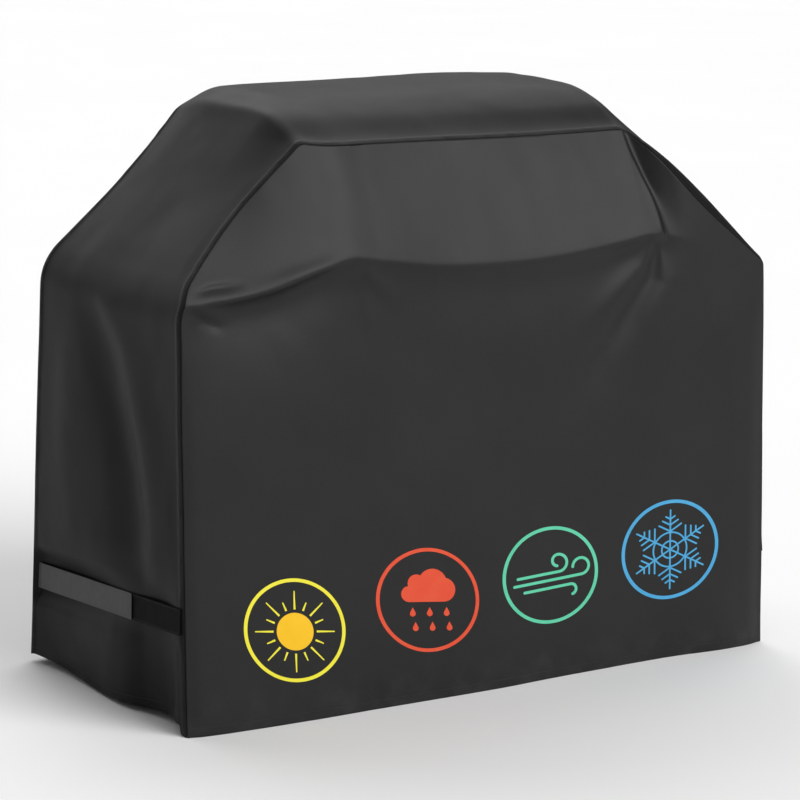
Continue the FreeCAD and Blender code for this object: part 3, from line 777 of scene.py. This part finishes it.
# ------------ badges
def badge(name, node):
    """A printed film: the CAD badge's drawing, cut fine and laid on the hanging front panel."""
    source = frame["nodes"][node].data
    mesh = bmesh.new()
    mesh.from_mesh(source)
    bmesh.ops.remove_doubles(mesh, verts=mesh.verts, dist=0.00002)
    for _ in range(6):
        long_edges = [e for e in mesh.edges if e.calc_length() > PRINT_EDGE]
        if not long_edges:
            break
        bmesh.ops.subdivide_edges(mesh, edges=long_edges, cuts=1, use_grid_fill=False)
        bmesh.ops.triangulate(mesh, faces=mesh.faces)
    lean = math.atan2(FRONT_LEAN, SKIRT)
    normal = np.array([0, -math.cos(lean), math.sin(lean)])
    points = np.array([v.co for v in mesh.verts], float)
    depth_in = points @ normal
    front = depth_in > (depth_in.max() + depth_in.min()) / 2
    y = front_depth(points[:, 0], points[:, 2]) - np.where(front, PRINT_LIFT, -PRINT_SINK)
    for vert, value in zip(mesh.verts, y):
        vert.co.y = value
    for face in mesh.faces:
        face.smooth = abs(face.normal.y) > 0.5
    data = bpy.data.meshes.new(name)
    mesh.to_mesh(data)
    mesh.free()
    layer = data.uv_layers.new(name="pattern")
    for loop in data.loops:
        co = data.vertices[loop.vertex_index].co
        layer.data[loop.index].uv = (co.x, co.z)
    return add_object(name, data)


# ------------ materials
MIX_SHARE, MIX_FIRST, MIX_SECOND, MIX_RESULT = 0, 6, 7, 2  # a mix node's sockets for colours


class Surface:
    """A Principled material under construction, with short calls for its nodes."""

    def __init__(self, name, colour, roughness, specular=0.4, sheen=0.0, sheen_roughness=0.5):
        self.material = bpy.data.materials.new(name)
        self.material.use_nodes = True
        self.tree = self.material.node_tree
        self.shader = self.tree.nodes["Principled BSDF"]
        self.colour = colour
        self.shader.inputs["Base Color"].default_value = (*colour, 1)
        self.shader.inputs["Roughness"].default_value = roughness
        self.shader.inputs["Specular IOR Level"].default_value = specular
        self.shader.inputs["Sheen Weight"].default_value = sheen
        self.shader.inputs["Sheen Roughness"].default_value = sheen_roughness
        self.pattern = self.node("ShaderNodeUVMap").outputs["UV"]
        self.place = self.node("ShaderNodeTexCoord").outputs["Object"]

    def node(self, kind, **inputs):
        node = self.tree.nodes.new(kind)
        for name, value in inputs.items():
            self.feed(node.inputs[name.replace("_", " ")], value)
        return node

    def feed(self, socket, value):
        if isinstance(value, bpy.types.NodeSocket):
            self.tree.links.new(value, socket)
        else:
            socket.default_value = value

    def math(self, operation, a, b=0.0):
        node = self.tree.nodes.new("ShaderNodeMath")
        node.operation = operation
        self.feed(node.inputs[0], a)
        self.feed(node.inputs[1], b)
        return node.outputs[0]

    def noise(self, scale, detail=3.0, roughness=0.5):
        sizes = {"Scale": scale, "Detail": detail, "Roughness": roughness}
        return self.node("ShaderNodeTexNoise", Vector=self.place, **sizes).outputs["Fac"]

    def ramp(self, value, low, high):
        """0 where the value is low, 1 where it is high."""
        return self.node("ShaderNodeMapRange", Value=value, From_Min=low, From_Max=high).outputs["Result"]

    def waves(self, axis, pitch):
        """A sine across the pattern, one period to a pitch."""
        split = self.node("ShaderNodeSeparateXYZ", Vector=self.pattern)
        return self.math("SINE", self.math("MULTIPLY", split.outputs[axis], 2 * math.pi / pitch))

    def weave(self, pitch_across, pitch_along):
        """A small square lattice of bumps, as threads make where they cross."""
        return self.math("MULTIPLY", self.waves("X", pitch_across), self.waves("Y", pitch_along))

    def blotches(self, noise, low, high, share):
        """Patches of a noise, at a share of full strength."""
        return self.math("MULTIPLY", self.ramp(self.noise(*noise), low, high), share)

    def tint(self, mask, colour):
        """Mixes a second colour in where the mask is 1."""
        mix = self.tree.nodes.new("ShaderNodeMix")
        mix.data_type = "RGBA"
        base = self.shader.inputs["Base Color"]
        first = base.links[0].from_socket if base.links else (*self.colour, 1)
        self.feed(mix.inputs[MIX_SHARE], mask)
        self.feed(mix.inputs[MIX_FIRST], first)
        self.feed(mix.inputs[MIX_SECOND], (*colour, 1))
        self.feed(base, mix.outputs[MIX_RESULT])

    def rough(self, mask, low, high):
        node = self.node("ShaderNodeMapRange", Value=mask, To_Min=low, To_Max=high)
        self.feed(self.shader.inputs["Roughness"], node.outputs["Result"])

    def relief(self, height, strength, distance):
        node = self.node("ShaderNodeBump", Strength=strength, Distance=distance, Height=height)
        normal = self.shader.inputs["Normal"]
        if normal.links:
            self.feed(node.inputs["Normal"], normal.links[0].from_socket)
        self.feed(normal, node.outputs["Normal"])


def oxford_cloth(name, shade, specular):
    """Coated black oxford: a fine square weave under a dull coating, with slight blotches and dust."""
    black, blotch, fleck = ((tone * shade,) * 3 for tone in (0.009, 0.013, 0.02))
    s = Surface(name, black, 0.45, specular)
    weave = s.weave(WEAVE_PITCH, WEAVE_PITCH)
    s.tint(s.ramp(s.noise(3.5, 4.0, 0.55), 0.35, 0.75), blotch)
    s.tint(s.blotches((260.0, 2.0), 0.45, 0.75, 0.35), fleck)
    height = s.node("ShaderNodeSeparateXYZ", Vector=s.place).outputs["Z"]
    dust = s.math("MULTIPLY", s.ramp(height, 0.1, 0), s.ramp(s.noise(14.0, 5.0, 0.65), 0.45, 0.8))
    s.tint(s.math("MULTIPLY", dust, 0.35), (0.06, 0.057, 0.052))
    s.rough(s.noise(7.0, 5.0, 0.6), 0.4, 0.5)
    s.relief(s.noise(9.0, 4.0, 0.6), 0.1, 0.0016)
    s.relief(s.noise(55.0, 3.0, 0.6), 0.14, 0.0005)
    s.relief(weave, 0.35, 0.0001)
    return s.material


def flat_webbing(name, colour, worn, specular, rib=0.0024):
    """Flat woven polyester: ribs across, a fine yarn grain along, and a lighter bloom where it rubs."""
    s = Surface(name, colour, 0.75, specular)
    ribs = s.weave(rib, rib * 1.7)
    s.tint(s.blotches((38.0, 4.0, 0.6), 0.42, 0.72, 0.35), worn)
    s.tint(s.math("MULTIPLY", s.ramp(ribs, -0.4, 1.0), 0.6), worn)
    s.rough(s.noise(60.0, 3.0), 0.66, 0.85)
    s.relief(ribs, 0.7, 0.0004)
    s.relief(s.noise(900.0, 2.0), 0.3, 0.0002)
    return s.material


def tape_face(name, colour, scale, strength):
    """The furry or hooked face of a fastener tape."""
    s = Surface(name, colour, 0.9, specular=0.1, sheen=0.05)
    cells = s.node("ShaderNodeTexVoronoi", Vector=s.place, Scale=scale).outputs["Distance"]
    s.tint(s.ramp(cells, 0.1, 0.6), tuple(1.8 * c for c in colour))
    s.rough(s.noise(200.0), 0.8, 1.0)
    s.relief(cells, strength, 0.0006)
    return s.material


def binding_tape():
    s = Surface("binding_tape", (0.016, 0.016, 0.017), 0.8, specular=0.25, sheen=0.08)
    across, along = s.waves("X", 0.0018), s.waves("Y", 0.0018)
    twill = s.math("SINE", s.math("ADD", s.math("MULTIPLY", across, 1.4), along))
    s.tint(s.ramp(s.noise(30.0), 0.4, 0.7), (0.026, 0.026, 0.027))
    s.rough(s.noise(80.0), 0.7, 0.9)
    s.relief(twill, 0.5, 0.0003)
    return s.material


def sewing_thread(name, colour):
    s = Surface(name, colour, 0.6, specular=0.35, sheen=0.1)
    s.tint(s.ramp(s.noise(400.0), 0.4, 0.7), tuple(1.5 * c for c in colour))
    s.rough(s.noise(300.0), 0.5, 0.7)
    s.relief(s.noise(1500.0, 1.0), 0.5, 0.0002)
    return s.material


def print_film(name, colour, paler):
    """A heat-pressed film: flat colour that follows the weave, slightly mottled."""
    s = Surface(name, colour, 0.55, specular=0.25)
    s.tint(s.blotches((25.0, 4.0, 0.6), 0.35, 0.75, 0.5), paler)
    s.rough(s.noise(60.0, 3.0), 0.48, 0.66)
    s.relief(s.weave(WEAVE_PITCH, WEAVE_PITCH), 0.25, 0.0002)
    return s.material


# ------------ stage
CAMERA_PLACE = (-3.901, -6.317, 2.051)
CAMERA_TURN = (31.57, 11.25, 0.5)  # degrees to the right, down, and of roll
CAMERA_LENS, CAMERA_SENSOR = 153.7, 36.0


def make_camera():
    camera = bpy.data.cameras.new("camera")
    camera.lens = CAMERA_LENS
    camera.sensor_width = CAMERA_SENSOR
    yaw, pitch, roll = (math.radians(angle) for angle in CAMERA_TURN)
    look = Vector((math.sin(yaw) * math.cos(pitch), math.cos(yaw) * math.cos(pitch), -math.sin(pitch)))
    right = look.cross(Vector((0, 0, 1))).normalized()
    up = right.cross(look)
    tilted_right = right * math.cos(roll) + up * math.sin(roll)
    tilted_up = up * math.cos(roll) - right * math.sin(roll)
    turn = Matrix((tilted_right, tilted_up, -look)).transposed().to_4x4()
    obj = add_object("camera", camera)
    obj.matrix_world = Matrix.Translation(CAMERA_PLACE) @ turn
    bpy.context.scene.camera = obj


def sun_light(name, direction, angle, strength):
    """A soft distant light that shines along the direction."""
    lamp = bpy.data.lights.new(name, "SUN")
    lamp.angle = math.radians(angle)
    lamp.energy = strength
    add_object(name, lamp).rotation_euler = Vector(direction).to_track_quat("-Z", "Y").to_euler()


WORLD_STRENGTH = 0.1
# name, the way it shines, how wide it is in degrees, strength
SUNS = (
    ("high_light", (-0.1, 0.4, -1.0), 40, 0.4),
    ("front_light", (-0.36, 0.77, -0.52), 42, 2.4),
    ("back_light", (-0.4, -0.55, -0.72), 55, 1.25),
    ("slope_light", (0.12, -0.84, -0.5), 60, 0.95),
    ("left_light", (0.93, 0.22, -0.3), 50, 0.15),
)


def make_stage():
    bpy.ops.mesh.primitive_plane_add(size=600, location=(0, 0, 0))
    floor = bpy.context.object
    floor.name = "floor"
    s = Surface("studio_floor", (0.92, 0.92, 0.92), 0.9, specular=0.1)
    s.tint(s.ramp(s.noise(0.8, 2.0), 0.4, 0.7), (0.93, 0.93, 0.93))
    floor.data.materials.append(s.material)
    world = bpy.data.worlds.new("studio")
    world.use_nodes = True
    background = world.node_tree.nodes["Background"].inputs
    background["Color"].default_value = (1, 1, 1, 1)
    background["Strength"].default_value = WORLD_STRENGTH
    bpy.context.scene.world = world
    for name, direction, angle, strength in SUNS:
        sun_light(name, direction, angle, strength)
    bpy.context.scene.view_settings.view_transform = "Standard"


# ------------ putting it together
def dress(obj, material, body="cover", nodes=()):
    """A piece's material, slot and body, and the CAD nodes it stands for."""
    obj.data.materials.clear()
    obj.data.materials.append(material)
    if body:
        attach(obj, body)
    if nodes:
        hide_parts(*nodes)
    return obj


def make_shell():
    face_cloth = oxford_cloth("face_cloth", shade=0.85, specular=0.27)
    # the gusset is the same oxford as the faces, with its reflection turned down so that its sides render
    # darker: painted shade
    shaded_side_cloth = oxford_cloth("gusset_cloth", shade=0.85, specular=0.075)
    tape, black_thread = binding_tape(), sewing_thread("black_thread", (0.02, 0.02, 0.02))
    base = gusset_base(edge_first(EDGE_COLUMNS, GUSSET_DEPTH, GUSSET_COLUMNS), GUSSET_SPACING)
    seams = (Seam(base, front_depth, back=False), Seam(base, back_depth, back=True))
    front, front_grid = face_panel("front_panel_cloth", seams[0], front_depth)
    back, back_grid = face_panel("back_panel_cloth", seams[1], back_depth)
    gusset, gusset_grid = gusset_panel("gusset_cloth", seams)
    dress(front, face_cloth, nodes=["front_panel"])
    dress(back, face_cloth, nodes=["back_panel"])
    dress(gusset, shaded_side_cloth, nodes=["gusset_panel"])
    tapes, stitches = [], []
    gusset_normals = grid_normals(gusset_grid)
    stitched = (("front", seams[0], TOPSTITCH_COLUMN), ("back", seams[1], -1 - TOPSTITCH_COLUMN))
    for name, seam, column in stitched:
        piece = seam_tape(f"{name}_seam_tape", seam)
        tapes.append(dress(piece, tape, nodes=[f"{name}_seam_binding"]))
        line = stitch_line(f"{name}_seam_stitches", gusset_grid[4:-4, column], gusset_normals[4:-4, column])
        stitches.append(dress(line, black_thread))
    edges = (("front", front_grid), ("back", back_grid), ("left", gusset_grid), ("right", gusset_grid[::-1]))
    hems = [dress(hem_stitches(f"{name}_hem_stitches", grid), black_thread)
            for name, grid in edges]
    return front, back, gusset, tapes, stitches, hems


# CAD node, material and slot, colour, and its paler patches
PRINTS = (
    ("sun_badge", "print_yellow", (0.82, 0.74, 0.035), (0.86, 0.8, 0.1)),
    ("sun_badge_disc", "print_amber", (0.88, 0.5, 0.008), (0.91, 0.56, 0.03)),
    ("rain_badge", "print_red", (0.7, 0.07, 0.027), (0.74, 0.11, 0.05)),
    ("wind_badge", "print_green", (0.1, 0.56, 0.34), (0.15, 0.62, 0.42)),
    ("snow_badge", "print_blue", (0.06, 0.34, 0.62), (0.1, 0.41, 0.68)),
)


def make_badges():
    return [dress(badge(f"{node}_film", node), print_film(name, colour, paler), nodes=[node])
            for node, name, colour, paler in PRINTS]


def make_strap(side, materials):
    """One side's hook strap, sewn at the back seam, and the loop strap it closes on."""
    strap = STRAPS[side]
    root, tip = f"{side}_strap_root", f"{side}_strap_tip"
    anchor_span = strap.span("strap_anchor")
    (a0, a1), (o0, o1), width = anchor_span
    # the sewn end is folded over twice
    layers = []
    for k in range(3):
        low = o0 + (o1 - o0) * k / 3
        layer_span = ((a0, a1 - LAYER_STEP * (2 - k)), (low, low + (o1 - o0) / 3), width)
        layers.append(webbing(f"{side}_layer", strap, layer_span))
    dress(join(layers, f"{side}_anchor_webbing"), materials["grey"],
          nodes=[f"{side}_strap_anchor"])
    stitches = box_stitches(f"{side}_anchor_stitches", strap, anchor_span, o1, ANCHOR_INSET)
    dress(stitches, materials["grey_thread"])
    # the root starts on the anchor's top layer and runs to the fold joint
    _, out, width = strap.span("strap_root")
    bend = float((strap.bend - strap.peel) @ strap.along)
    spans = ((a1 - ROOT_OVERLAP, bend), out, width)
    piece = webbing(f"{side}_root_webbing", strap, spans, bow=ROOT_BOW, spacing=BENT_SPACING)
    dress(piece, materials["grey"], body=None, nodes=[root])
    tuple(strap.at(-0.0030, 0, 0))
    tuple(strap.at(0.010, 0, 0))
    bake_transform(piece)
    # the tip starts where the root ends
    (_, end), out, width = strap.span("strap_tip")
    spans = ((bend - TIP_OVERLAP, end), out, width)
    piece = webbing(f"{side}_tip_webbing", strap, spans, spacing=BENT_SPACING)
    dress(piece, materials["grey"], body=None, nodes=[tip])
    tuple(strap.at(bend - 0.001, 0, 0))
    tuple(strap.at(bend + 0.012, 0, 0))
    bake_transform(piece)
    stop = end - TIP_INSET
    lines = edge_lines(end - TIP_STITCHED, stop, stop, width, 0.005)
    stitches = straight_stitches(f"{side}_tip_stitches", strap, lines, out[1])
    dress(stitches, materials["grey_thread"], body=tip)
    hook = webbing(f"{side}_hook_face", strap, strap.span("hook_tape"))
    dress(hook, materials["hook"], body=tip, nodes=[f"{side}_hook_tape"])
    # the loop strap is stitched along both edges and across its free end
    loop_span = strap.span("loop_strap")
    loop = webbing(f"{side}_loop_webbing", strap, loop_span)
    dress(loop, materials["black"], nodes=[f"{side}_loop_strap"])
    (start, end), out, width = loop_span
    lines = edge_lines(start + 0.006, end - 0.006, end - 0.008, width, 0.0035)
    stitches = straight_stitches(f"{side}_loop_stitches", strap, lines, out[1])
    dress(stitches, materials["black_thread"])
    face = webbing(f"{side}_loop_face", strap, strap.span("loop_tape"))
    dress(face, materials["loop"], nodes=[f"{side}_loop_tape"])


make_camera()
make_stage()
front, back, gusset, tapes, seam_stitches, hems = make_shell()
badges = make_badges()
strap_materials = {
    "grey": flat_webbing("grey_webbing", (0.075, 0.075, 0.077), (0.115, 0.115, 0.118), 0.25),
    # the loop strap's webbing is black, and its colour is set darker than the cover's black to the tone of
    # the strap in its fold's shadow: black dye with painted shade
    "black": flat_webbing("black_webbing_and_painted_shade", (0.004, 0.004, 0.004), (0.007, 0.007, 0.007), 0.08),
    "hook": tape_face("hook_face", (0.012, 0.012, 0.012), 900.0, 1.0),
    "loop": tape_face("loop_face", (0.006, 0.006, 0.006), 500.0, 0.8),
    "grey_thread": sewing_thread("grey_thread", (0.045, 0.045, 0.046)),
    "black_thread": sewing_thread("strap_thread", (0.012, 0.012, 0.012)),
}
for side in STRAPS:
    make_strap(side, strap_materials)
